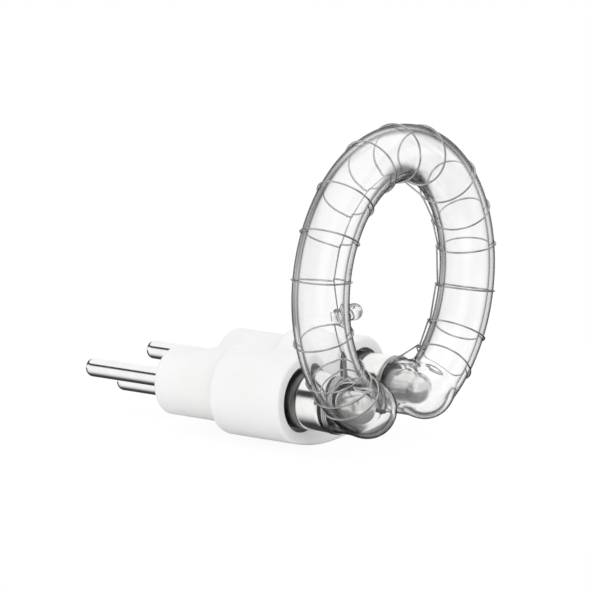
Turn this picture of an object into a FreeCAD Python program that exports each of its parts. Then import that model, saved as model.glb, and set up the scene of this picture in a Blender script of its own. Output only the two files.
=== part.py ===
import FreeCAD
import Part
import math
import os
from FreeCAD import Vector

# Ring-shaped xenon flash tube on a three-pin ceramic base.
# Millimetres. +Y runs along the base from the pins to the ring, +Z is up and X runs
# across the two legs. The origin is midway between the main pins on the base's end face.

# Driving dimensions: the pins
pin_radius = 2.0
shank_step = 0.3
pin_reach = 22.6
pin_tip_round = 1.4
leg_half_spacing = 10.5
trigger_drop = 5.0
trigger_pin_depth = 12.0
pin_head_radius = 3.4
pin_head_thickness = 2.0
pin_hole_clearance = 0.03

# Driving dimensions: the moulded ceramic base
neck_radius = 7.2
neck_length = 15.6
neck_valley_height = 4.6
neck_bottom_drop = 8.4
body_radius = 9.3
body_length = 17.7
body_valley_height = 6.2
body_bottom_drop = 11.0
valley_round = 2.0
end_face_round = 1.0
shoulder_round = 1.2
face_round = 0.8
root_round = 0.6
bore_radius = 6.9
bore_floor = 2.9
wire_hole_radius = 0.8

# Driving dimensions: the glass
glass_radius = 5.75
glass_wall = 1.0
ring_radius = 26.4
ring_reach = 15.7
elbow_swell = 0.2
seal_thickness = 2.0
bead_radius = 1.8
bead_length = 1.7
bead_gap = 0.8

# Driving dimensions: the tip where the tube was pumped and sealed
tip_angle = 86.0
tip_root_radius = 1.9
tip_neck_radius = 0.9
tip_neck_reach = 1.9
tip_ball_radius = 1.7
tip_ball_reach = 3.4

# Driving dimensions: the metal inside and round the legs
electrode_radius = 3.45
electrode_length = 13.6
electrode_lead = 1.1
electrode_bevel = 0.4
rod_radius = 0.9
rod_grip = 1.4
metal_clearance = 0.03
ferrule_wall = 0.2
ferrule_overrun = 1.0
ferrule_reach = 7.5
cement_recess = 3.0

# Driving dimensions: the trigger wire and its turns
wire_radius = 0.2
wire_sides = 4
wire_clearance = 0.05
wire_grip = 2.0
wire_exit_reach = 1.8
run_offset_angle = 35.0
front_leg_turns = 3
rear_leg_turns = 2
turn_pitch = 0.7
elbow_stations = (38.0, 42.0)
ring_stations = (56.0, 75.0, 100.0, 119.0, 138.0, 160.0, 180.0,
                 200.0, 225.0, 246.0, 262.0, 282.0, 302.0, 318.0)

# Places and radii that follow from the driving dimensions
shank_radius = pin_radius + shank_step
face_y = neck_length + body_length
bore_floor_y = neck_length + bore_floor
pin_head_end = bore_floor_y + pin_head_thickness
ring_plane = face_y + ring_reach
seal_start = pin_head_end + bead_gap + bead_length
ferrule_start = seal_start - ferrule_overrun
ferrule_end = face_y + ferrule_reach
electrode_front = ring_plane + electrode_lead
electrode_back = electrode_front - electrode_length
ring_height = math.sqrt(ring_radius ** 2 - leg_half_spacing ** 2)
ring_centre = Vector(0, ring_plane, ring_height)
ring_end_angle = math.degrees(math.asin(leg_half_spacing / ring_radius))
glass_inner_radius = glass_radius - glass_wall
ferrule_inner_radius = glass_radius + metal_clearance
ferrule_radius = ferrule_inner_radius + ferrule_wall
turn_radius = glass_radius + wire_clearance + wire_radius
last_turn_y = ring_plane - turn_radius - wire_radius
along = Vector(0, 1, 0)


def cylinder(x, z, start, end, radius):
    """A round bar along Y at (x, z) from start to end."""
    return Part.makeCylinder(radius, end - start, Vector(x, start, z), along)


def edges_where(shape, test):
    """The edges of a shape that pass a test on their two end points and middle."""
    found = []
    for edge in shape.Edges:
        middle = edge.valueAt((edge.FirstParameter + edge.LastParameter) / 2)
        if test([vertex.Point for vertex in edge.Vertexes] + [middle]):
            found.append(edge)
    return found


def at_y(y):
    """A test for edges that lie in the plane at the given y."""
    return lambda points: all(abs(point.y - y) < 1e-4 for point in points)


def rounded_prism(radius, valley, drop, start, length):
    """Two round sleeves with a flat valley between them above and one shallow
    arc under both, swept along Y, with its two valley corners rounded."""
    swell = drop - radius
    arc_height = (leg_half_spacing ** 2 - swell ** 2) / (2 * swell)
    reach = math.hypot(leg_half_spacing, arc_height)
    touch_x = leg_half_spacing + radius * leg_half_spacing / reach
    touch_z = -radius * arc_height / reach
    corner_x = leg_half_spacing - math.sqrt(radius ** 2 - valley ** 2)
    outer_x = leg_half_spacing + radius
    corner = Vector(corner_x, start, valley)
    touch = Vector(touch_x, start, touch_z)
    far_corner = Vector(-corner_x, start, valley)
    far_touch = Vector(-touch_x, start, touch_z)
    outline = Part.Wire([
        Part.Arc(corner, Vector(outer_x, start, 0), touch).toShape(),
        Part.Arc(touch, Vector(0, start, -drop), far_touch).toShape(),
        Part.Arc(far_touch, Vector(-outer_x, start, 0), far_corner).toShape(),
        Part.LineSegment(far_corner, corner).toShape(),
    ])
    prism = Part.Face(outline).extrude(along * length)
    corners = edges_where(prism, lambda points: all(
        abs(abs(point.x) - corner_x) < 1e-4 and abs(point.z - valley) < 1e-4
        for point in points))
    return prism.makeFillet(valley_round, corners)


def make_base():
    """The moulded base: a stepped two-sleeve block with a bore for each leg."""
    neck = rounded_prism(neck_radius, neck_valley_height, neck_bottom_drop,
                         0, neck_length + body_length / 2)
    neck = neck.makeFillet(end_face_round, edges_where(neck, at_y(0)))
    body = rounded_prism(body_radius, body_valley_height, body_bottom_drop,
                         neck_length, body_length)
    body = body.makeFillet(shoulder_round, edges_where(body, at_y(neck_length)))
    body = body.makeFillet(face_round, edges_where(body, at_y(face_y)))
    base = body.fuse(neck)
    outline_reach = leg_half_spacing + neck_radius
    roots = edges_where(base, lambda points: at_y(neck_length)(points)
                        and all(abs(point.x) < outline_reach + 1e-3
                                and point.z > -neck_bottom_drop - 1e-3
                                for point in points))
    base = base.makeFillet(root_round, roots)
    pin_hole = shank_radius + pin_hole_clearance
    for x in (-leg_half_spacing, leg_half_spacing):
        base = base.cut(cylinder(x, 0, bore_floor_y, face_y + 1, bore_radius))
        base = base.cut(cylinder(x, 0, -1, bore_floor_y + 1, pin_hole))
    base = base.cut(cylinder(0, -trigger_drop, -1, trigger_pin_depth, pin_hole))
    return base.cut(cylinder(0, -trigger_drop, trigger_pin_depth - 1, face_y + 1,
                             wire_hole_radius))


def make_pin(x, z, end):
    """A contact pin with a rounded tip and a thicker shank in the base, to end."""
    pin = cylinder(x, z, -pin_reach, 0.5, pin_radius)
    pin = pin.makeFillet(pin_tip_round, edges_where(pin, at_y(-pin_reach)))
    return pin.fuse(cylinder(x, z, 0, end, shank_radius))


def make_main_pin(x):
    """A main pin with the head that seats on the floor of its bore."""
    head = cylinder(x, 0, bore_floor_y, pin_head_end, pin_head_radius)
    socket = cylinder(x, 0, pin_head_end - rod_grip, pin_head_end + 1,
                      rod_radius + metal_clearance)
    return make_pin(x, 0, bore_floor_y + 0.5).fuse(head).cut(socket).removeSplitter()


def make_trigger_pin():
    """The third pin, drilled at its inner end for the trigger wire."""
    socket = cylinder(0, -trigger_drop, trigger_pin_depth - wire_grip,
                      trigger_pin_depth + 1, wire_radius + metal_clearance)
    return make_pin(0, -trigger_drop, trigger_pin_depth).cut(socket)


def ring_point(angle, radius, y):
    """A point of the ring, with the angle counted from its foot towards +X."""
    turn = math.radians(angle)
    return Vector(radius * math.sin(turn), y, ring_height - radius * math.cos(turn))


def tube_form(radius, elbow_radius, leg_start):
    """The bent tube as a solid: ring, rounded elbows and legs of one radius."""
    foot = ring_point(-ring_end_angle, ring_radius, ring_plane)
    heading = along.cross(foot - ring_centre)
    section = Part.Face(Part.Wire(Part.makeCircle(radius, foot, heading)))
    form = section.revolve(ring_centre, along, 360 - 2 * ring_end_angle)
    pieces = []
    for x in (-leg_half_spacing, leg_half_spacing):
        pieces.append(Part.makeSphere(elbow_radius, Vector(x, ring_plane, 0)))
        pieces.append(cylinder(x, 0, leg_start, ring_plane, radius))
    return form.multiFuse(pieces)


def make_exhaust_tip():
    """The sealed exhaust tip: a flared neck and a ball, pointing to the centre."""
    root = ring_radius - glass_radius
    neck = root - tip_neck_reach
    ball = root - tip_ball_reach
    sunk = root + glass_wall / 2
    inward = ring_centre - ring_point(tip_angle, ring_radius, ring_plane)
    flare = Part.makeCone(tip_root_radius, tip_neck_radius, sunk - neck,
                          ring_point(tip_angle, sunk, ring_plane), inward)
    stem = Part.makeCylinder(tip_neck_radius, neck - ball,
                             ring_point(tip_angle, neck, ring_plane), inward)
    drop = Part.makeSphere(tip_ball_radius, ring_point(tip_angle, ball, ring_plane))
    return flare.multiFuse([stem, drop])


def make_glass_tube():
    """The sealed glass envelope, with a bead round each lead at its end."""
    outer = tube_form(glass_radius, glass_radius + elbow_swell, seal_start)
    hollow = tube_form(glass_inner_radius, glass_inner_radius + elbow_swell,
                       seal_start + seal_thickness)
    glass = outer.fuse(make_exhaust_tip()).cut(hollow)
    for x in (-leg_half_spacing, leg_half_spacing):
        glass = glass.fuse(cylinder(x, 0, seal_start - bead_length, seal_start + 0.5,
                                    bead_radius))
        glass = glass.cut(cylinder(x, 0, seal_start - bead_length - 1,
                                   seal_start + seal_thickness + 1,
                                   rod_radius + metal_clearance))
    return glass


def make_electrode(x):
    """A round-nosed electrode, drilled at its back for the lead rod."""
    nose_y = electrode_front - electrode_radius
    barrel = cylinder(x, 0, electrode_back, nose_y, electrode_radius)
    barrel = barrel.makeChamfer(electrode_bevel, edges_where(barrel, at_y(electrode_back)))
    nose = Part.makeSphere(electrode_radius, Vector(x, nose_y, 0))
    socket = cylinder(x, 0, electrode_back - 1, electrode_back + rod_grip,
                      rod_radius + metal_clearance)
    return barrel.fuse(nose).cut(socket).removeSplitter()


def make_lead_rod(x):
    """The rod that carries the electrode through the seal to the pin."""
    return cylinder(x, 0, pin_head_end - rod_grip, electrode_back + rod_grip, rod_radius)


def make_sleeve(x, start, end, inner, outer):
    """A round sleeve along Y."""
    shell = cylinder(x, 0, start, end, outer)
    return shell.cut(cylinder(x, 0, start - 1, end + 1, inner))


def make_ferrule(x):
    """The bright metal sleeve on the seated end of a leg."""
    return make_sleeve(x, ferrule_start, ferrule_end, ferrule_inner_radius, ferrule_radius)


def make_cement(x):
    """The ring of cement that holds a leg in its bore."""
    return make_sleeve(x, ferrule_start, face_y - cement_recess,
                       ferrule_radius + metal_clearance, bore_radius - metal_clearance)


def wire_section(centre, normal, sideways):
    """The many-sided section of the trigger wire, across its run."""
    upward = normal.cross(sideways)
    corners = []
    for i in range(wire_sides + 1):
        turn = 2 * math.pi * i / wire_sides
        corners.append(centre + sideways * (wire_radius * math.cos(turn))
                       + upward * (wire_radius * math.sin(turn)))
    return Part.Face(Part.makePolygon(corners))


def wire_turn(centre, axis):
    """One closed turn of the wire round a tube that runs along axis."""
    axis = Vector(axis).normalize()
    spoke = axis.cross(along if abs(axis.y) < 0.9 else Vector(1, 0, 0)).normalize()
    section = wire_section(centre + spoke * turn_radius, axis.cross(spoke), spoke)
    return section.revolve(centre, axis, 360)


def wire_run(start, end):
    """A straight run of the wire."""
    run = end - start
    heading = Vector(run).normalize()
    sideways = heading.cross(Vector(0, 0, 1)).normalize()
    return wire_section(start, heading, sideways).extrude(run)


def make_trigger_wire():
    """The trigger wire: out of the base, round the front leg, looped along the
    ring with a straight run behind each loop, and round the rear leg."""
    lead_start = Vector(0, trigger_pin_depth - wire_grip, -trigger_drop)
    lead_bend = Vector(0, face_y + wire_exit_reach, -trigger_drop)
    first_turn_y = last_turn_y - (front_leg_turns - 1) * turn_pitch
    slant = turn_radius * math.sqrt(0.5)
    landing = Vector(leg_half_spacing - slant, first_turn_y, -slant)
    pieces = [wire_run(lead_bend, landing)]
    route = []
    for i in range(front_leg_turns):
        y = first_turn_y + i * turn_pitch
        pieces.append(wire_turn(Vector(leg_half_spacing, y, 0), along))
        route.append(Vector(leg_half_spacing, y, turn_radius))
    run_offset = math.radians(run_offset_angle)
    run_radius = ring_radius - turn_radius * math.cos(run_offset)
    run_y = ring_plane - turn_radius * math.sin(run_offset)
    for angle in elbow_stations + ring_stations:
        centre = ring_point(angle, ring_radius, ring_plane)
        pieces.append(wire_turn(centre, along.cross(centre - ring_centre)))
        route.append(ring_point(angle, run_radius, run_y))
    for i in range(rear_leg_turns):
        y = last_turn_y - i * turn_pitch
        pieces.append(wire_turn(Vector(-leg_half_spacing, y, 0), along))
        route.append(Vector(-leg_half_spacing, y, turn_radius))
    for start, end in zip(route, route[1:]):
        pieces.append(wire_run(start, end))
    return wire_run(lead_start, lead_bend).multiFuse(pieces)


def write(shape, node):
    """Writes one closed solid to its own file."""
    solid = shape.Solids[0]
    print(node, "solids", len(shape.Solids), "valid", shape.isValid(),
          "volume", round(shape.Volume, 2))
    solid.exportStep("parts/" + node + ".step")


os.makedirs("parts", exist_ok=True)
write(make_base(), "ceramic_base")
write(make_trigger_pin(), "trigger_pin")
write(make_glass_tube(), "glass_tube")
write(make_trigger_wire(), "trigger_wire")
for side, x in (("left", -leg_half_spacing), ("right", leg_half_spacing)):
    write(make_main_pin(x), "main_pin_" + side)
    write(make_lead_rod(x), "lead_rod_" + side)
    write(make_electrode(x), "electrode_" + side)
    write(make_ferrule(x), "ferrule_" + side)
    write(make_cement(x), "cement_ring_" + side)
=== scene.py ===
import math

import bmesh
import bpy
import numpy as np
from mathutils import Matrix, Vector


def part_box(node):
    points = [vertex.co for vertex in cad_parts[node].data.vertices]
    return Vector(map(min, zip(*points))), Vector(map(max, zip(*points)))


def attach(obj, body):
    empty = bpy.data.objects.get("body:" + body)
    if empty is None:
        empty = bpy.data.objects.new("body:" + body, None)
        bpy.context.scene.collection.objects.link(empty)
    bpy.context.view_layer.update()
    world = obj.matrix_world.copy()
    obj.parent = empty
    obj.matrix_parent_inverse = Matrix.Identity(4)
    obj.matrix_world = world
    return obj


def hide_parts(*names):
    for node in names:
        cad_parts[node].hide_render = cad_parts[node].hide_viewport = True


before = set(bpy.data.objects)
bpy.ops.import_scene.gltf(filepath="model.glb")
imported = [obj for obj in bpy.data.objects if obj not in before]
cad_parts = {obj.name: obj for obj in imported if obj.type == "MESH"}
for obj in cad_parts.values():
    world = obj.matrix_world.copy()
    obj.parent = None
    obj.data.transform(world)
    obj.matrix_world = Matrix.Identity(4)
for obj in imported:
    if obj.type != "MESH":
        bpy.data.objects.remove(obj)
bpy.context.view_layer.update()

# The camera, fitted to the outlines of pins, base and ring in the 590 by 590 photograph
IMAGE_SIZE = 590.0
VIEW_TURN = math.radians(54.2547)
VIEW_RISE = math.radians(11.4948)
VIEW_ROLL = -0.00925
VIEW_DISTANCE = 0.8002
VIEW_SHIFT_ACROSS = 0.01919
VIEW_SHIFT_UP = 0.01583
FOCAL_PIXELS = 3794.42
SENSOR = 36.0

# Sizes in metres, the same as the frame's
MM = 0.001
PIN_RADIUS = 2.0 * MM
TIP_ROUND = 1.4 * MM
HALF_SPACING = 10.5 * MM
TRIGGER_DROP = 5.0 * MM
TUBE_RADIUS = 5.75 * MM
TUBE_WALL = 1.0 * MM
RING_RADIUS = 26.4 * MM
ELBOW_SWELL = 0.2 * MM
CROTCH_ROUND = 0.9 * MM
WIRE_RADIUS = 0.19 * MM
ELECTRODE_RADIUS = 3.45 * MM
SHANK_RADIUS = 2.3 * MM
FERRULE_RADIUS = 5.98 * MM
TIP_ANGLE = 80.3
TIP_TURN = 279.6

# The wire's loops: degrees along the ring from its foot, lean, and the place of the
# straight run about the tube, where 180 faces the base and 270 the ring's middle
LOOPS = ((38, 16, 225), (46, 13, 245), (54.5, 10, 258), (75, -2.5, 262), (100, -2.5, 262),
         (119, -2.5, 262), (138, -2.5, 262), (160, 0, 258), (180, 0, 252), (200, -10, 245),
         (226, 2.5, 240), (246, -2.5, 233), (262, 2.5, 228), (282, 0, 225), (302, 0, 225),
         (318, 0, 225))
# Small bends of the loops in millimetres
WOBBLE = (0.12, -0.08, 0.05, -0.14, 0.1, -0.04, 0.07)

# The glass: points round the tube, its ends behind the electrodes, and its index. The
# number of points keeps the whole piece under 200,000 triangles
GLASS_SIDES = 100
GLASS_START = 1.0 * MM
GLASS_END_WALL = 2.0 * MM
GLASS_BEAD = 1.7 * MM
GLASS_RIM = 1.2 * MM
GLASS_INDEX = 1.47

# The wire's turns about the legs: number, pitch span and distance behind the ring's plane
FRONT_TURNS, FRONT_SPAN, FRONT_BACK = 3.3, 1.5 * MM, 7.6 * MM
REAR_TURNS, REAR_SPAN, REAR_BACK = 2.1, 1.1 * MM, 6.9 * MM
TURN_STEPS = 48

# How far the painted shade on the ferrules reaches out of the bores
PAINTED_SHADE_REACH = 2.1 * MM

# The studio: how dark its cards are in metal and in glass, the floor, the sky and the lamps
METAL_DARK = 0.95
GLASS_DARK = 0.74
FLOOR_RADIUS = 0.11
FLOOR_CENTRE_Y = 0.02
FLOOR_GLOW = 0.93
FLOOR_SHARE = 0.09
# Grey of the painted shade that glass sees on the floor below the elbows
FLOOR_UNDER_SHADE = 0.30
OBJECT_ASIDE = 0.038
SKY_BACK = 0.90
SKY_FRONT = 1.0
KEY_PLACE, KEY_AIM, KEY_SIZE, KEY_WATTS = (0.45, -0.25, 0.55), (0, 0.01, 0), 0.5, 0.5
FRONT_PLACE, FRONT_AIM, FRONT_SIZE, FRONT_WATTS = (0.2, 0.5, 0.1), (0, 0.03, 0), 0.4, 0.45

# Places read from the frame
BASE_LOW, BASE_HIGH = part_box("ceramic_base")
TUBE_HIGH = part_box("glass_tube")[1]
FLOOR_Z = BASE_LOW[2]
FACE_Y = BASE_HIGH[1]
RING_Y = TUBE_HIGH[1] - TUBE_RADIUS - ELBOW_SWELL
RING_Z = math.sqrt(RING_RADIUS ** 2 - HALF_SPACING ** 2)
FOOT_ANGLE = math.asin(HALF_SPACING / RING_RADIUS)
FERRULE_LOW, FERRULE_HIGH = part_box("ferrule_right")
ELECTRODE_LOW, ELECTRODE_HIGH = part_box("electrode_right")
MAIN_PIN_LOW, MAIN_PIN_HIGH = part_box("main_pin_right")


def place_camera():
    """The camera looks along the fitted direction from the fitted distance."""
    back = Vector((math.sin(VIEW_TURN) * math.cos(VIEW_RISE),
                   math.cos(VIEW_TURN) * math.cos(VIEW_RISE),
                   math.sin(VIEW_RISE)))
    level = (-back).cross(Vector((0, 0, 1))).normalized()
    upright = level.cross(-back)
    right = level * math.cos(VIEW_ROLL) + upright * math.sin(VIEW_ROLL)
    up = upright * math.cos(VIEW_ROLL) - level * math.sin(VIEW_ROLL)
    place = back * VIEW_DISTANCE + right * VIEW_SHIFT_ACROSS + up * VIEW_SHIFT_UP
    data = bpy.data.cameras.new("camera")
    data.sensor_width = SENSOR
    data.lens = FOCAL_PIXELS * SENSOR / IMAGE_SIZE
    data.clip_end = 20.0
    camera = bpy.data.objects.new("camera", data)
    turn = Matrix((right, up, back)).transposed().to_4x4()
    camera.matrix_world = Matrix.Translation(place) @ turn
    bpy.context.collection.objects.link(camera)
    bpy.context.scene.camera = camera
    return -back


# Mesh helpers

def grid_mesh(name, points, wrap_u=False, wrap_v=False, cap_start=None, cap_end=None):
    """A mesh from a grid of points (rows u, columns v, xyz). Each cell is a quad.
    wrap_u or wrap_v joins the last row or column to the first, and a cap closes an
    end row with a fan to its point."""
    rows, cols = points.shape[:2]
    index = np.arange(rows * cols).reshape(rows, cols)
    u = np.arange(rows if wrap_u else rows - 1)
    v = np.arange(cols if wrap_v else cols - 1)
    a = index[u][:, v]
    b = index[(u + 1) % rows][:, v]
    c = index[(u + 1) % rows][:, (v + 1) % cols]
    d = index[u][:, (v + 1) % cols]
    faces = np.stack([a, b, c, d], -1).reshape(-1, 4).tolist()
    verts = points.reshape(-1, 3)
    for cap, row, flip in ((cap_start, index[0], False), (cap_end, index[-1], True)):
        if cap is None:
            continue
        tip = len(verts)
        verts = np.vstack([verts, np.asarray(cap)[None]])
        after = np.roll(row, -1)
        fan = np.stack([row, after, np.full(cols, tip)], -1)
        faces += (fan[:, ::-1] if flip else fan).tolist()
    mesh = bpy.data.meshes.new(name)
    mesh.from_pydata(verts.tolist(), [], faces)
    mesh.shade_smooth()
    mesh.update()
    return mesh


def piece(name, mesh, material, slot, *nodes):
    """Links a mesh as a piece of the object that stands for CAD nodes."""
    thing = bpy.data.objects.new(name, mesh)
    bpy.context.collection.objects.link(thing)
    mesh.materials.clear()
    mesh.materials.append(material)
    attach(thing, "root")
    if nodes:
        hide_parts(*nodes)
    return thing


def turned(name, profile, x, z, sides=96):
    """A lathe form along Y at (x, z): profile rows are (y, radius), first to last,
    and both ends close on the axis."""
    profile = np.asarray(profile, float)
    turn = np.linspace(0, 2 * np.pi, sides, endpoint=False)
    ring = np.stack([np.cos(turn), np.zeros(sides), np.sin(turn)], -1)
    points = profile[:, 1, None, None] * ring[None]
    points[..., 1] += profile[:, 0, None]
    points += np.array([x, 0, z])
    return grid_mesh(name, points, wrap_v=True,
                     cap_start=(x, profile[0, 0], z), cap_end=(x, profile[-1, 0], z))


def arc(centre, radius, start, end, steps):
    """Points (y, r) of an arc about centre, from start to end in degrees, where
    0 is along +Y and 90 is outwards."""
    turn = np.radians(np.linspace(start, end, steps))
    return np.stack([centre[0] + radius * np.cos(turn), centre[1] + radius * np.sin(turn)], -1)


# The glass: a bent tube as a signed distance, met by a grid of points

def ring_terms(points):
    """Distance from the ring's axis, angle from its foot towards +X, and height off
    its plane, for an array of points."""
    across = points[..., 0]
    up = points[..., 2] - RING_Z
    return np.hypot(across, up), np.arctan2(across, -up), points[..., 1] - RING_Y


def lower(a, b, k):
    """The lower of two distances, with a round of size k where they cross."""
    h = np.clip(0.5 + 0.5 * (b - a) / k, 0, 1)
    return b * (1 - h) + a * h - k * h * (1 - h)


def tube_distance(points, radius):
    """Distance to the bent tube: the ring's arc, the two legs and the swollen
    elbows where they meet, joined with a small round."""
    rho, angle, off = ring_terms(points)
    angle = np.abs(angle)
    gap = 2 * RING_RADIUS * np.sin((np.maximum(angle, FOOT_ANGLE) - angle) / 2)
    ring = np.sqrt((rho - RING_RADIUS) ** 2 + off ** 2 + gap ** 2) - radius
    side = np.abs(points[..., 0]) - HALF_SPACING
    past = points[..., 1] - RING_Y
    leg = np.sqrt(side ** 2 + points[..., 2] ** 2 + np.maximum(past, 0) ** 2) - radius
    elbow = np.sqrt(side ** 2 + points[..., 2] ** 2 + past ** 2) - radius - ELBOW_SWELL
    return lower(lower(ring, leg, CROTCH_ROUND), elbow, 0.5 * MM)


def settle(points, radius, rounds=6):
    """Moves points along the distance's slope until they lie on the tube."""
    step = 0.02 * MM
    for _ in range(rounds):
        here = tube_distance(points, radius)
        slope = np.stack([(tube_distance(points + step * axis, radius)
                           - tube_distance(points - step * axis, radius)) / (2 * step)
                          for axis in np.eye(3)], -1)
        size = np.maximum((slope ** 2).sum(-1), 0.25)
        points = points - (here / size)[..., None] * slope
    return points


def elbow_reach(q):
    """How far before the corner a line at signed offset q leaves the leg: nothing on
    the outer side, and its own offset and a small round on the inner side."""
    small = 0.25 * MM
    return (np.sqrt(q ** 2 + 4 * small ** 2) - q) / 2


def tube_rows(radius, start, turn, leg_steps=44, bend_steps=16, ring_steps=330):
    """Rows of points along the bent tube from the right leg's end to the left
    leg's. Each row is a turn about the tube: along a leg, round the elbow about a
    centre set back on the inner side, then along the ring."""
    q = radius * np.cos(turn)
    b = radius * np.sin(turn)
    reach = elbow_reach(q)
    round_ = q + reach
    heading = np.array([math.cos(FOOT_ANGLE), 0, math.sin(FOOT_ANGLE)])
    outward = np.array([math.sin(FOOT_ANGLE), 0, -math.cos(FOOT_ANGLE)])
    ahead = np.array([0.0, 1.0, 0.0])
    corner = np.array([HALF_SPACING, RING_Y, 0.0])
    rows = []
    ease = np.linspace(0, 1, leg_steps, endpoint=False)
    for part in 1 - (1 - ease) ** 1.6:
        y = start + (RING_Y - reach - start) * part
        rows.append(np.array([HALF_SPACING, 0, 0]) - q[:, None] * heading
                    + b[:, None] * outward + y[:, None] * ahead)
    for part in np.linspace(0, 1, bend_steps, endpoint=False):
        bend = part * math.pi / 2
        along = (reach - round_ * math.cos(bend))[:, None] * heading
        level = (round_ * math.sin(bend) - reach)[:, None] * ahead
        sag = part * reach[:, None] ** 2 / (2 * RING_RADIUS) * outward
        rows.append(corner + along + level + b[:, None] * outward - sag)
    first = FOOT_ANGLE + reach / RING_RADIUS
    span = 2 * np.pi - 2 * first
    steps = np.linspace(0, 1, ring_steps)
    steps = steps - 0.006 * np.sin(2 * np.pi * steps)
    for part in steps:
        angle = first + span * part
        out = RING_RADIUS + b
        rows.append(np.stack([out * np.sin(angle), RING_Y + q,
                              RING_Z - out * np.cos(angle)], -1))
    half = np.array(rows[:leg_steps + bend_steps])
    mirror = half[::-1] * np.array([-1.0, 1.0, 1.0])
    return np.concatenate([np.array(rows), mirror])


def tip_profile():
    """The exhaust tip in its own plane, (height, radius) from a flare sunk in the
    wall, through a narrow neck, to the ball's pole."""
    neck, ball = 0.95 * MM, 1.7 * MM
    rise = np.linspace(0, 1, 14)
    flare = np.stack([(-0.4 + 2.3 * rise) * MM, neck + 1.4 * MM * (1 - rise) ** 2.2], -1)
    centre = 3.4 * MM
    open_angle = math.pi - math.asin(neck / ball)
    turn = np.linspace(open_angle, 0.06, 26)
    drop = np.stack([centre + ball * 1.06 * np.cos(turn), ball * np.sin(turn)], -1)
    return np.vstack([flare[:-1], drop])


def make_glass(material):
    """The outer and the inner surface of the glass, and the exhaust tip."""
    turn = np.linspace(0, 2 * np.pi, GLASS_SIDES, endpoint=False)
    start = FERRULE_LOW[1] + GLASS_START
    outer = settle(tube_rows(TUBE_RADIUS, start, turn), TUBE_RADIUS)
    inner_radius = TUBE_RADIUS - TUBE_WALL
    inner_start = start + GLASS_END_WALL
    inner = settle(tube_rows(inner_radius, inner_start, turn), inner_radius)
    outer = close_ends(outer, start, GLASS_BEAD)
    inner = close_ends(inner, inner_start, 0.0)
    # The inner surface faces the cavity, so its columns run the other way
    inner = inner[:, ::-1]
    caps = [((HALF_SPACING, rows[0, :, 1].mean(), 0), (-HALF_SPACING, rows[0, :, 1].mean(), 0))
            for rows in (outer, inner)]
    skin = grid_mesh("glass_outer", outer, wrap_v=True, cap_start=caps[0][0], cap_end=caps[0][1])
    lining = grid_mesh("glass_inner", inner, wrap_v=True, cap_start=caps[1][0], cap_end=caps[1][1])
    skin = joined(skin, make_tip())
    bm = bmesh.new()
    bm.from_mesh(skin)
    bm.from_mesh(lining)
    mesh = bpy.data.meshes.new("glass_envelope")
    bm.to_mesh(mesh)
    bm.free()
    mesh.shade_smooth()
    piece("glass_envelope", mesh, material, "clear_glass", "glass_tube")


def tip_frame():
    """The tip's foot on the glass, the way it points, and two directions across it."""
    angle, turn = math.radians(TIP_ANGLE), math.radians(TIP_TURN)
    outward = np.array([math.sin(angle), 0, -math.cos(angle)])
    inward = math.cos(turn) * np.array([0, 1.0, 0]) + math.sin(turn) * outward
    middle = RING_RADIUS * outward + np.array([0, RING_Y, RING_Z])
    sideways = np.array([math.cos(angle), 0, math.sin(angle)])
    return middle + TUBE_RADIUS * inward, inward, sideways, np.cross(inward, sideways)


def make_tip():
    """The exhaust tip as a closed lathe form that points to the ring's middle."""
    base, inward, sideways, across = tip_frame()
    profile = tip_profile()
    spin = np.linspace(0, 2 * np.pi, 48, endpoint=False)
    circle = np.cos(spin)[:, None] * sideways + np.sin(spin)[:, None] * across
    points = base + profile[:, 0, None, None] * inward + profile[:, 1, None, None] * circle
    return grid_mesh("exhaust_tip", points, wrap_v=True,
                     cap_start=base + profile[0, 0] * inward,
                     cap_end=base + (profile[-1, 0] + 0.003 * MM) * inward)


def joined(first, second):
    """The union of two closed meshes."""
    things = []
    for mesh in (first, second):
        thing = bpy.data.objects.new(mesh.name, mesh)
        bpy.context.collection.objects.link(thing)
        things.append(thing)
    union = things[0].modifiers.new("union", "BOOLEAN")
    union.operation = "UNION"
    union.solver = "EXACT"
    union.object = things[1]
    seen = things[0].evaluated_get(bpy.context.evaluated_depsgraph_get())
    whole = bpy.data.meshes.new_from_object(seen)
    for thing in things:
        bpy.data.objects.remove(thing)
    return whole


def close_ends(rows, start, bead):
    """Adds rounded end rows to both ends of the tube, down to a bead or the axis."""
    added = []
    first = rows[0]
    axis = np.array([HALF_SPACING, 0, 0])
    rim = GLASS_RIM
    radius = np.hypot(first[:, 0] - HALF_SPACING, first[:, 2])[:, None]
    unit = (first - axis) * np.array([1, 0, 1]) / radius
    shape = [(radius - rim + rim * math.sin(a), start + rim - rim * math.cos(a))
             for a in np.linspace(math.pi / 2, 0, 8)]
    shape += [(radius * 0 + r, start) for r in (3.0 * MM, 2.2 * MM)]
    if bead:
        shape += [(radius * 0 + 1.8 * MM, start - 0.4 * MM),
                  (radius * 0 + 1.8 * MM, start - bead + 0.4 * MM),
                  (radius * 0 + 1.4 * MM, start - bead)]
    shape += [(radius * 0 + 0.5 * MM, start - bead)]
    for r, y in shape:
        row = axis + unit * r
        row[:, 1] = y
        added.append(row)
    added = np.array(added)[::-1]
    body = rows[1:-1]
    body = body[(body[:, :, 1].min(1) > start + rim * 1.02)
                | (np.arange(len(body)) > 40) & (np.arange(len(body)) < len(body) - 40)]
    return np.concatenate([added, body, added[::-1] * np.array([-1.0, 1, 1])])


# The trigger wire: one path, swept round

def ring_place(angle, turn, radius):
    """A point at a turn about the tube, 0 away from the base and 90 outwards."""
    out = RING_RADIUS + radius * np.sin(turn)
    return np.stack([out * np.sin(angle), RING_Y + radius * np.cos(turn),
                     RING_Z - out * np.cos(angle)], -1)


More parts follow.
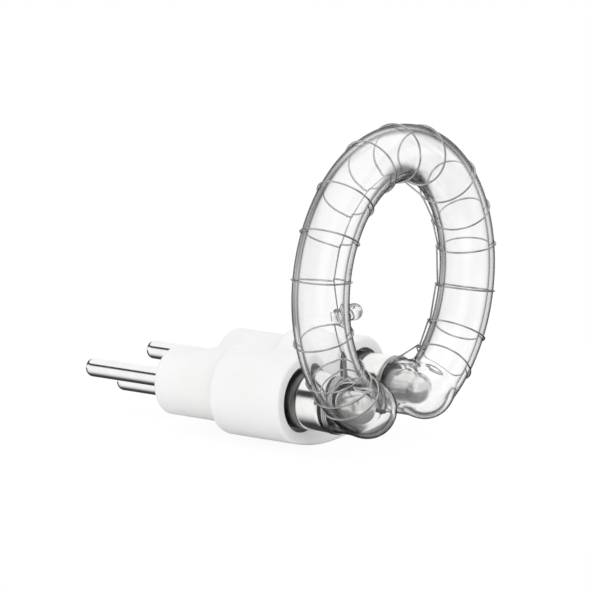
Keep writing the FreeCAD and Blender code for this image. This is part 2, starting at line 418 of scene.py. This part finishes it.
def wire_path():
    """The wire's middle line: turns about the right leg, then loops along the ring
    with a straight run from each to the next on the inner side, then turns about
    the left leg. A loop leans, and its end crosses over its start."""
    lift = TUBE_RADIUS + WIRE_RADIUS + 0.04 * MM
    path = [np.array([[0, FACE_Y - 12 * MM, -TRIGGER_DROP], [0, FACE_Y, -TRIGGER_DROP],
                      [0.6 * MM, FACE_Y + 2.2 * MM, -TRIGGER_DROP]])]
    turns = np.linspace(0, 1, TURN_STEPS * 3 + 1)
    spin = math.radians(-135) - turns * 2 * np.pi * FRONT_TURNS
    y = RING_Y - FRONT_BACK + turns * FRONT_SPAN
    lean = 0.35 * MM * np.sin(spin + 1.0)
    path.append(np.stack([HALF_SPACING + lift * np.cos(spin), y + lean, lift * np.sin(spin)], -1))
    for number, (station, tilt, side) in enumerate(LOOPS):
        middle = math.radians(station)
        hook = math.radians(side)
        part = np.linspace(0, 1, 61)
        turn = hook + 2 * np.pi * part
        over = lift + 2.1 * WIRE_RADIUS * smooth((part - 0.93) / 0.05)
        slide = lift * math.tan(math.radians(tilt)) * np.sin(turn)
        slide -= 0.6 * MM * (part - 0.5) + WOBBLE[number % len(WOBBLE)] * MM * np.sin(2 * turn)
        path.append(ring_place(middle + slide / RING_RADIUS, turn, over))
        if station < TIP_ANGLE < LOOPS[number + 1][0]:
            path.append(tip_turn())
    turns = np.linspace(0, 1, TURN_STEPS * 2 + 1)
    spin = math.radians(60) + turns * 2 * np.pi * REAR_TURNS
    y = RING_Y - REAR_BACK - turns * REAR_SPAN
    lean = 0.35 * MM * np.sin(spin - 1.0)
    path.append(np.stack([-HALF_SPACING + lift * np.cos(spin), y + lean, lift * np.sin(spin)], -1))
    return np.concatenate(path)


def tip_turn():
    """One turn of the wire about the neck of the exhaust tip."""
    base, inward, sideways, across = tip_frame()
    spin = np.linspace(math.pi + 0.4, -math.pi + 0.9, 26)[:, None]
    reach = (1.25 + 0.12 * np.cos(3 * spin)) * MM
    height = (1.75 + 0.25 * np.sin(spin)) * MM
    return base + inward * height + reach * (np.cos(spin) * sideways + np.sin(spin) * across)


def smooth(t):
    """Zero below 0, one above 1, and an eased rise between."""
    t = np.clip(t, 0, 1)
    return t * t * (3 - 2 * t)


def swept(name, path, radius, sides=10):
    """A round tube along a path. Each section's frame is the last one, turned no more
    than the path turns, and both ends close on the path."""
    ahead = np.gradient(path, axis=0)
    ahead /= np.linalg.norm(ahead, axis=1)[:, None]
    side = np.zeros_like(path)
    last = np.cross(ahead[0], [0.1, 0.2, 1.0])
    for i, way in enumerate(ahead):
        last = last - way * last.dot(way)
        last /= np.linalg.norm(last)
        side[i] = last
    upward = np.cross(ahead, side)
    spin = np.linspace(0, 2 * np.pi, sides, endpoint=False)[None, :, None]
    rim = np.cos(spin) * side[:, None] + np.sin(spin) * upward[:, None]
    points = path[:, None] + radius * rim
    return grid_mesh(name, points[:, ::-1], wrap_v=True, cap_start=path[0], cap_end=path[-1])


# The metal pieces

def make_pins(material):
    """The three pins: a rounded tip, a plain stem, a thicker shank and a head."""
    tip_y = MAIN_PIN_LOW[1]
    head_y = MAIN_PIN_HIGH[1]
    nose = arc((tip_y + TIP_ROUND, PIN_RADIUS - TIP_ROUND), TIP_ROUND, 180, 90, 12)
    stem = [(y, PIN_RADIUS) for y in np.linspace(tip_y + 2 * MM, -0.05 * MM, 12)]
    shank = [(0, PIN_RADIUS), (0, SHANK_RADIUS), (0.05 * MM, SHANK_RADIUS)]
    head = [(head_y - 2.05 * MM, SHANK_RADIUS), (head_y - 2.0 * MM, 3.4 * MM),
            (head_y - 0.05 * MM, 3.4 * MM), (head_y, 3.35 * MM), (head_y, 1.0 * MM)]
    for side, x in (("left", -HALF_SPACING), ("right", HALF_SPACING)):
        mesh = turned("main_pin_" + side, np.vstack([nose, stem, shank, head]), x, 0)
        piece("main_pin_" + side, mesh, material, "pin_metal", "main_pin_" + side)
    end_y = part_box("trigger_pin")[1][1]
    end = [(end_y - 0.05 * MM, SHANK_RADIUS), (end_y, SHANK_RADIUS - 0.05 * MM), (end_y, 0.3 * MM)]
    mesh = turned("trigger_pin", np.vstack([nose, stem, shank, end]), 0, -TRIGGER_DROP)
    piece("trigger_pin", mesh, material, "pin_metal", "trigger_pin")


def make_electrodes(material):
    """The electrodes: a bevelled back, a plain barrel and a round nose."""
    back, front = ELECTRODE_LOW[1], ELECTRODE_HIGH[1]
    r = ELECTRODE_RADIUS
    rear = [(back, 0.95 * MM), (back, r - 0.4 * MM), (back + 0.05 * MM, r - 0.37 * MM),
            (back + 0.4 * MM, r)]
    barrel = [(y, r) for y in np.linspace(back + 0.5 * MM, front - r - 0.05 * MM, 10)]
    nose = arc((front - r, 0), r, 90, 4, 22)
    for side, x in (("left", -HALF_SPACING), ("right", HALF_SPACING)):
        mesh = turned("electrode_" + side, np.vstack([rear, barrel, nose]), x, 0)
        piece("electrode_" + side, mesh, material, "electrode_metal", "electrode_" + side)


def make_ferrules(material):
    """The thin sleeves, from the inner edge round the outer skin and back."""
    low, high = FERRULE_LOW[1], FERRULE_HIGH[1]
    inner, outer = FERRULE_RADIUS - 0.2 * MM, FERRULE_RADIUS
    turn = np.linspace(0, 2 * np.pi, 128, endpoint=False)
    ring = np.stack([np.cos(turn), np.zeros_like(turn), np.sin(turn)], -1)
    lip = 0.05 * MM
    run = np.linspace(low + lip, high - lip, 24)
    profile = [(low, inner + lip), (low, outer - lip)]
    profile += [(y, outer) for y in run]
    profile += [(high, outer - lip), (high, inner + lip)]
    profile += [(y, inner) for y in run[::-1]]
    profile = np.array(profile)
    for side, x in (("left", -HALF_SPACING), ("right", HALF_SPACING)):
        points = profile[:, 1, None, None] * ring[None]
        points[..., 1] += profile[:, 0, None]
        points[..., 0] += x
        mesh = grid_mesh("ferrule_" + side, points, wrap_u=True, wrap_v=True)
        piece("ferrule_" + side, mesh, material, "ferrule_metal", "ferrule_" + side)


# Materials

class Nodes:
    """A short way to write a node tree: every call adds one node and links it."""

    def __init__(self, tree):
        self.tree = tree
        tree.nodes.clear()

    def add(self, kind, **settings):
        node = self.tree.nodes.new(kind)
        for key, value in settings.items():
            setattr(node, key, value)
        return node

    def put(self, socket, value):
        if isinstance(value, bpy.types.NodeSocket):
            self.tree.links.new(value, socket)
        elif isinstance(value, tuple) and len(value) == 3 and len(socket.default_value) == 4:
            socket.default_value = (*value, 1)
        else:
            socket.default_value = value

    def fill(self, node, **values):
        for key, value in values.items():
            self.put(node.inputs[key.replace("_", " ")], value)
        return node

    def math(self, operation, a, b=0.0):
        node = self.add("ShaderNodeMath", operation=operation)
        self.put(node.inputs[0], a)
        self.put(node.inputs[1], b)
        return node.outputs[0]

    def product(self, first, *others):
        for other in others:
            first = self.math("MULTIPLY", first, other)
        return first

    def largest(self, first, *others):
        for other in others:
            first = self.math("MAXIMUM", first, other)
        return first

    def rest_of(self, value):
        """One less the value."""
        return self.math("SUBTRACT", 1.0, value)

    def ramp(self, value, low, high, start=0.0, end=1.0):
        """An eased step: start below low, end above high."""
        node = self.add("ShaderNodeMapRange", interpolation_type="SMOOTHSTEP")
        for socket, given in zip(node.inputs, (value, low, high, start, end)):
            self.put(socket, given)
        return node.outputs[0]

    def noise(self, place, scale, detail=3.0, stretch=(1, 1, 1)):
        mapping = self.add("ShaderNodeMapping")
        self.put(mapping.inputs["Vector"], place)
        mapping.inputs["Scale"].default_value = stretch
        node = self.add("ShaderNodeTexNoise")
        self.put(node.inputs["Vector"], mapping.outputs[0])
        node.inputs["Scale"].default_value = scale
        node.inputs["Detail"].default_value = detail
        return node.outputs[0]

    def mix(self, share, a, b):
        node = self.add("ShaderNodeMix", data_type="RGBA")
        self.put(node.inputs[0], share)
        self.put(node.inputs[6], a)
        self.put(node.inputs[7], b)
        return node.outputs[2]

    def along(self, vector, axis):
        """How far a vector reaches along an axis."""
        node = self.add("ShaderNodeVectorMath", operation="DOT_PRODUCT")
        self.put(node.inputs[0], vector)
        node.inputs[1].default_value = tuple(axis)
        return node.outputs["Value"]

    def bump(self, height, strength, distance):
        node = self.add("ShaderNodeBump")
        self.put(node.inputs["Height"], height)
        node.inputs["Strength"].default_value = strength
        node.inputs["Distance"].default_value = distance
        return node.outputs[0]


def material(name):
    """A new material with an empty node tree and its output."""
    made = bpy.data.materials.new(name)
    made.use_nodes = True
    nodes = Nodes(made.node_tree)
    out = nodes.add("ShaderNodeOutputMaterial")
    place = nodes.add("ShaderNodeTexCoord").outputs["Object"]
    return made, nodes, out, place


def ceramic_material():
    """White fired ceramic: a fine grain, faint clouding and a dull sheen."""
    made, nodes, out, place = material("ceramic")
    shade = nodes.add("ShaderNodeBsdfPrincipled")
    cloud = nodes.ramp(nodes.noise(place, 90, 4), 0.3, 0.7)
    grain = nodes.noise(place, 2600, 2)
    nodes.fill(shade, Base_Color=nodes.mix(cloud, (0.875, 0.873, 0.868), (0.905, 0.905, 0.902)),
               Roughness=nodes.ramp(grain, 0.2, 0.8, 0.42, 0.56),
               Normal=nodes.bump(grain, 0.12, 0.00004))
    shade.inputs["Specular IOR Level"].default_value = 0.35
    nodes.put(out.inputs["Surface"], shade.outputs[0])
    return made


def cement_material():
    """Dull set cement with coarse grain and dark specks."""
    made, nodes, out, place = material("cement")
    shade = nodes.add("ShaderNodeBsdfPrincipled")
    grain = nodes.noise(place, 1500, 5)
    speck = nodes.ramp(nodes.noise(place, 3500, 1), 0.58, 0.7)
    base = nodes.mix(nodes.ramp(grain, 0.3, 0.7), (0.50, 0.49, 0.47), (0.66, 0.65, 0.62))
    nodes.fill(shade, Base_Color=nodes.mix(speck, base, (0.36, 0.35, 0.33)),
               Roughness=0.9, Normal=nodes.bump(grain, 0.5, 0.0002))
    nodes.put(out.inputs["Surface"], shade.outputs[0])
    return made


def metal_material(name, light, dark, low, high, lines, depth, painted_shade_end_y=None):
    """Turned metal: fine rings across Y and a faint cloud over colour and polish.
    Below the given Y the metal carries painted shade, a dark streaked band standing in for the
    shadowed bore it shows at the bore's mouth."""
    made, nodes, out, place = material(name)
    shade = nodes.add("ShaderNodeBsdfPrincipled")
    rings = nodes.noise(place, 40, 3, (6, lines, 6))
    cloud = nodes.noise(place, 350, 3)
    colour = nodes.mix(nodes.ramp(cloud, 0.3, 0.7), dark, light)
    polish = nodes.ramp(rings, 0.3, 0.7, low, high)
    # Painted shade: below the given Y the colour turns dark and streaked, for the shadowed bore
    # seen in the ferrule at its mouth
    if painted_shade_end_y is not None:
        parts = nodes.add("ShaderNodeSeparateXYZ")
        nodes.put(parts.inputs[0], place)
        edge = nodes.ramp(parts.outputs["Y"], painted_shade_end_y, painted_shade_end_y + 0.3 * MM, 1.0, 0.0)
        streak = nodes.noise(place, 1400, 2, (0.1, 1, 0.1))
        painted_shade_colour = nodes.mix(nodes.ramp(streak, 0.35, 0.65), (0.10, 0.10, 0.10), (0.24, 0.24, 0.235))
        colour = nodes.mix(edge, colour, painted_shade_colour)
        polish = nodes.math("ADD", polish, nodes.math("MULTIPLY", edge, 0.25))
    nodes.fill(shade, Metallic=1.0, Base_Color=colour, Roughness=polish,
               Normal=nodes.bump(rings, depth, 0.00002))
    nodes.put(out.inputs["Surface"], shade.outputs[0])
    return made


def glass_material():
    """Clear blown glass, a little uneven in tint, with painted shade that darkens it towards its
    outlines for the dark refraction there, that lets shadow rays and diffuse rays straight
    through."""
    made, nodes, out, place = material("clear_glass")
    cloud = nodes.ramp(nodes.noise(place, 60, 2), 0.3, 0.7)
    clean = nodes.mix(cloud, (0.995, 0.996, 0.996), (1.0, 1.0, 1.0))
    # Painted shade: the colour turns near black towards the outlines, standing in for the dark
    # refraction at the tube's edges
    facing = nodes.add("ShaderNodeLayerWeight").outputs["Facing"]
    edge = nodes.ramp(facing, 0.54, 0.76, 0.0, 0.82)
    tint_and_painted_outline = nodes.mix(edge, clean, (0.02, 0.02, 0.021))
    glass = nodes.add("ShaderNodeBsdfGlass")
    nodes.fill(glass, Color=tint_and_painted_outline, Roughness=0.0, IOR=GLASS_INDEX,
               Normal=nodes.bump(nodes.noise(place, 90, 1), 0.03, 0.0002))
    clear = nodes.add("ShaderNodeBsdfTransparent")
    clear.inputs["Color"].default_value = (0.96, 0.96, 0.96, 1)
    path = nodes.add("ShaderNodeLightPath")
    both = nodes.add("ShaderNodeMixShader")
    nodes.put(both.inputs[0],
              nodes.largest(path.outputs["Is Shadow Ray"], path.outputs["Is Diffuse Ray"]))
    nodes.put(both.inputs[1], glass.outputs[0])
    nodes.put(both.inputs[2], clear.outputs[0])
    nodes.put(out.inputs["Surface"], both.outputs[0])
    return made


def dress(node, material_made):
    """Gives a CAD node's slots one material."""
    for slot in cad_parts[node].material_slots:
        slot.material = material_made


# The studio

def make_floor(view):
    """A pale plain floor. The camera sees it a shade under white, less its shadow, and
    diffuse rays see it lit by the studio. Metal doesn't see it. Glass sees it as the camera does
    in a strip behind the object, sees a grey patch of painted shade on it below the elbows,
    standing in for the shade under the object, and sees through it elsewhere."""
    level = view.cross(Vector((0, 0, 1))).normalized()
    depth = Vector((view.x, view.y, 0)).normalized()
    bpy.ops.mesh.primitive_circle_add(vertices=96, radius=FLOOR_RADIUS, fill_type="NGON",
                                      location=(0, FLOOR_CENTRE_Y, FLOOR_Z))
    floor = bpy.context.object
    floor.name = "floor"
    floor.visible_glossy = False
    made, nodes, out, place = material("floor")
    path = nodes.add("ShaderNodeLightPath")
    through = path.outputs["Is Transmission Ray"]
    behind = nodes.along(place, depth)
    # Painted shade: glass sees the floor grey below the elbows, for the shade under the object
    painted_under_shade = nodes.product(through, nodes.ramp(behind, -0.008, 0.003, 1.0, 0.0),
                         nodes.ramp(behind, -0.058, -0.042))
    aside = nodes.math("ABSOLUTE", nodes.math("SUBTRACT", nodes.along(place, level), OBJECT_ASIDE))
    strip = nodes.product(through, nodes.ramp(aside, 0.021, 0.034, 1.0, 0.0), nodes.rest_of(painted_under_shade))
    paper = nodes.noise(place, 400, 2)
    lit = nodes.mix(paper, (0.91,) * 3, (0.93,) * 3)
    plain = nodes.add("ShaderNodeBsdfDiffuse")
    nodes.put(plain.inputs["Color"], nodes.mix(painted_under_shade, lit, (FLOOR_UNDER_SHADE,) * 3))
    faint = nodes.add("ShaderNodeBsdfDiffuse")
    nodes.put(faint.inputs["Color"],
              nodes.mix(paper, (FLOOR_SHARE,) * 3, (FLOOR_SHARE * 1.01,) * 3))
    glow = nodes.add("ShaderNodeEmission")
    glow.inputs["Strength"].default_value = FLOOR_GLOW
    seen = nodes.add("ShaderNodeAddShader")
    nodes.put(seen.inputs[0], faint.outputs[0])
    nodes.put(seen.inputs[1], glow.outputs[0])
    both = nodes.add("ShaderNodeMixShader")
    nodes.put(both.inputs[0], nodes.largest(path.outputs["Is Camera Ray"], strip))
    nodes.put(both.inputs[1], plain.outputs[0])
    nodes.put(both.inputs[2], seen.outputs[0])
    clear = nodes.add("ShaderNodeBsdfTransparent")
    gone = nodes.math("SUBTRACT", through, nodes.math("ADD", strip, painted_under_shade))
    whole = nodes.add("ShaderNodeMixShader")
    nodes.put(whole.inputs[0], nodes.largest(gone, 0.0))
    nodes.put(whole.inputs[1], both.outputs[0])
    nodes.put(whole.inputs[2], clear.outputs[0])
    nodes.put(out.inputs["Surface"], whole.outputs[0])
    floor.data.materials.append(made)


def metal_studio(nodes, way, view, level):
    """How light the studio is in metal: dark on both sides above the ground, dark on
    the ground below the object, and a little dark behind the camera."""
    parts = nodes.add("ShaderNodeSeparateXYZ")
    nodes.put(parts.inputs[0], way)
    height = parts.outputs["Z"]
    aside = nodes.math("ABSOLUTE", nodes.along(way, level))
    sides = nodes.product(nodes.ramp(aside, 0.16, 0.5), nodes.ramp(aside, 0.88, 0.93, 1.0, 0.0),
                          nodes.ramp(height, 0.60, 0.68, 1.0, 0.0),
                          nodes.ramp(height, -0.05, 0.1), METAL_DARK)
    under = nodes.product(nodes.ramp(height, -0.25, -0.05, METAL_DARK, 0.0),
                          nodes.ramp(parts.outputs["X"], 0.0, 0.75, 1.0, 0.0))
    rear = nodes.ramp(nodes.along(way, view), -0.9, -0.4, 0.25, 0.0)
    return nodes.rest_of(nodes.largest(sides, rear, under))


def glass_studio(nodes, way, level):
    """How light the studio is in glass: a dark card on the left, a faint one on the
    right, and neither overhead."""
    parts = nodes.add("ShaderNodeSeparateXYZ")
    nodes.put(parts.inputs[0], way)
    height = parts.outputs["Z"]
    left = nodes.along(way, -level)
    dark = nodes.product(nodes.ramp(left, 0.12, 0.54), nodes.ramp(left, 0.58, 0.72, 1.0, 0.64),
                         nodes.ramp(left, 0.78, 0.88, 1.0, 0.15))
    veil = nodes.ramp(left, -0.05, 0.25, 0.0, 0.22)
    faint = nodes.ramp(nodes.along(way, level), 0.15, 0.5, 0.0, 0.34)
    cards = nodes.product(nodes.largest(dark, veil, faint),
                          nodes.ramp(height, 0.60, 0.68, 1.0, 0.0),
                          nodes.ramp(height, -0.50, -0.22, 0.35, 1.0), GLASS_DARK)
    return nodes.rest_of(cards)


def make_world(view):
    """A white studio for the camera, with its own cards for metal and for glass.
    Diffuse light is a little weaker from -Y."""
    world = bpy.data.worlds.new("studio")
    bpy.context.scene.world = world
    world.use_nodes = True
    nodes = Nodes(world.node_tree)
    out = nodes.add("ShaderNodeOutputWorld")
    way = nodes.add("ShaderNodeTexCoord").outputs["Generated"]
    level = view.cross(Vector((0, 0, 1))).normalized()
    light = nodes.ramp(nodes.along(way, (0, 1, 0)), -1.0, 1.0, SKY_BACK, SKY_FRONT)
    path = nodes.add("ShaderNodeLightPath")
    for flag, value in (("Is Glossy Ray", metal_studio(nodes, way, view, level)),
                        ("Is Transmission Ray", glass_studio(nodes, way, level)),
                        ("Is Camera Ray", 1.0)):
        pick = nodes.add("ShaderNodeMix", data_type="FLOAT")
        nodes.put(pick.inputs[0], path.outputs[flag])
        nodes.put(pick.inputs[2], light)
        nodes.put(pick.inputs[3], value)
        light = pick.outputs[0]
    sky = nodes.add("ShaderNodeBackground")
    sky.inputs["Color"].default_value = (1, 1, 1, 1)
    nodes.put(sky.inputs["Strength"], light)
    nodes.put(out.inputs["Surface"], sky.outputs[0])


def lamp(name, place, target, size, watts):
    """A square soft light at a place, facing a target."""
    data = bpy.data.lights.new(name, "AREA")
    data.size = size
    data.energy = watts
    thing = bpy.data.objects.new(name, data)
    thing.location = place
    aim = Vector(target) - Vector(place)
    thing.rotation_euler = aim.to_track_quat("-Z", "Y").to_euler()
    thing.visible_glossy = False
    thing.visible_transmission = False
    bpy.context.collection.objects.link(thing)


view_way = place_camera()
make_world(view_way)
make_floor(view_way)
lamp("key", KEY_PLACE, KEY_AIM, KEY_SIZE, KEY_WATTS)
lamp("front", FRONT_PLACE, FRONT_AIM, FRONT_SIZE, FRONT_WATTS)

clear_glass = glass_material()
pin_metal = metal_material("pin_metal", (0.95, 0.95, 0.95), (0.90, 0.90, 0.90),
                           0.07, 0.13, 60, 0.05)
# The ferrules' metal carries painted shade, dark and streaked, just out of the bores
ferrule_metal = metal_material("ferrule_metal", (0.92, 0.92, 0.91), (0.86, 0.86, 0.85),
                               0.08, 0.15, 30, 0.05, FACE_Y + PAINTED_SHADE_REACH)
electrode_metal = metal_material("electrode_metal", (0.88, 0.88, 0.87), (0.83, 0.83, 0.82),
                                 0.22, 0.27, 50, 0.02)
rod_metal = metal_material("rod_metal", (0.45, 0.45, 0.46), (0.36, 0.36, 0.37),
                           0.3, 0.45, 20, 0.2)
wire_metal = metal_material("wire_metal", (0.68, 0.68, 0.67), (0.54, 0.54, 0.53),
                            0.14, 0.26, 8, 0.05)
cement = cement_material()

dress("ceramic_base", ceramic_material())
for end in ("left", "right"):
    dress("lead_rod_" + end, rod_metal)
    dress("cement_ring_" + end, cement)
make_glass(clear_glass)
make_pins(pin_metal)
make_electrodes(electrode_metal)
make_ferrules(ferrule_metal)
piece("trigger_wire", swept("trigger_wire", wire_path(), WIRE_RADIUS), wire_metal,
      "wire_metal", "trigger_wire")
for node, made in (("glass_tube", clear_glass), ("trigger_wire", wire_metal),
                   ("trigger_pin", pin_metal), ("main_pin_left", pin_metal),
                   ("main_pin_right", pin_metal), ("electrode_left", electrode_metal),
                   ("electrode_right", electrode_metal), ("ferrule_left", ferrule_metal),
                   ("ferrule_right", ferrule_metal)):
    dress(node, made)

view = bpy.context.scene.view_settings
view.view_transform = "Standard"
cycles = bpy.context.scene.cycles
cycles.max_bounces = 24
cycles.transmission_bounces = 20
cycles.transparent_max_bounces = 24
cycles.glossy_bounces = 8
cycles.caustics_reflective = True
cycles.caustics_refractive = False
